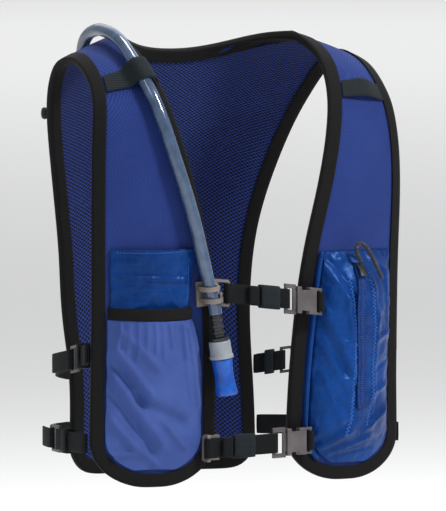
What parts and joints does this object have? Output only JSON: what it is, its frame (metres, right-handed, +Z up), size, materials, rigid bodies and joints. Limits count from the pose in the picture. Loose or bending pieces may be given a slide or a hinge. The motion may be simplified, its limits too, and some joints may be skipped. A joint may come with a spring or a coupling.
{
  "type": "running hydration vest",
  "caption": "Close-fitting running hydration vest with mesh panels, front pockets, a drinking hose with bite valve and two buckled chest straps.",
  "frame": {"origin": "midway between the undersides of the two shoulder straps, where the vest hangs on the wearer", "axes": "+Z up, -Y the way the wearer faces, +X to the wearer's left"},
  "size_m": [0.275, 0.2242, 0.3513],
  "materials": {
    "mesh": "knitted spacer mesh",
    "back_mesh": "open spacer mesh",
    "binding_tape": "woven black tape",
    "ripstop": "light ripstop nylon",
    "stretch_knit": "stretch knit",
    "zip_tape": "coated zip",
    "elastic": "woven elastic",
    "webbing": "woven webbing",
    "buckle_plastic": "moulded",
    "hook_plastic": "moulded",
    "hose_plastic": "clear tinted",
    "black_plastic": "moulded",
    "black_cord": "braided cord with light flecks",
    "collar_plastic": "moulded",
    "valve_silicone": "soft silicone"
  },
  "bodies": {
    "root": {"front_panel_right": "mesh", "front_panel_left": "mesh", "back_panel": "back_mesh", "binding_neck": "binding_tape", "binding_outer_right": "binding_tape", "binding_outer_left": "binding_tape", "stretch_pocket_band": "binding_tape", "pocket_welt": "ripstop", "upper_pocket": "ripstop", "zip_pocket": "ripstop", "back_pouch": "ripstop", "stretch_pocket": "stretch_knit", "pocket_zip": "zip_tape", "back_zip": "zip_tape", "hose_keeper_right": "elastic", "keeper_left": "elastic", "strap_sleeve_upper": "elastic", "strap_sleeve_lower": "elastic", "side_keeper_upper_right": "elastic", "side_keeper_upper_left": "elastic", "side_keeper_lower_right": "elastic", "side_keeper_lower_left": "elastic", "chest_strap_upper": "webbing", "chest_strap_lower": "webbing", "chest_anchor_upper": "webbing", "chest_anchor_lower": "webbing", "side_anchor_upper_right": "webbing", "side_anchor_upper_left": "webbing", "side_anchor_lower_right": "webbing", "side_anchor_lower_left": "webbing", "side_strap_upper_right": "webbing", "side_strap_upper_left": "webbing", "side_strap_lower_right": "webbing", "side_strap_lower_left": "webbing", "buckle_male_upper": "buckle_plastic", "buckle_male_lower": "buckle_plastic", "buckle_female_upper": "buckle_plastic", "buckle_female_lower": "buckle_plastic", "ladder_lock_upper_right": "buckle_plastic", "ladder_lock_upper_left": "buckle_plastic", "ladder_lock_lower_right": "buckle_plastic", "ladder_lock_lower_left": "buckle_plastic", "chest_hook_upper": "hook_plastic", "chest_hook_lower": "hook_plastic", "hose": "hose_plastic", "hose_barb": "black_plastic", "valve_washer": "black_plastic", "zip_slider": "black_plastic", "zip_pull_cord": "black_cord", "back_zip_pull": "black_cord", "valve_collar": "collar_plastic", "bite_valve": "valve_silicone"}
  },
  "joints": []
}
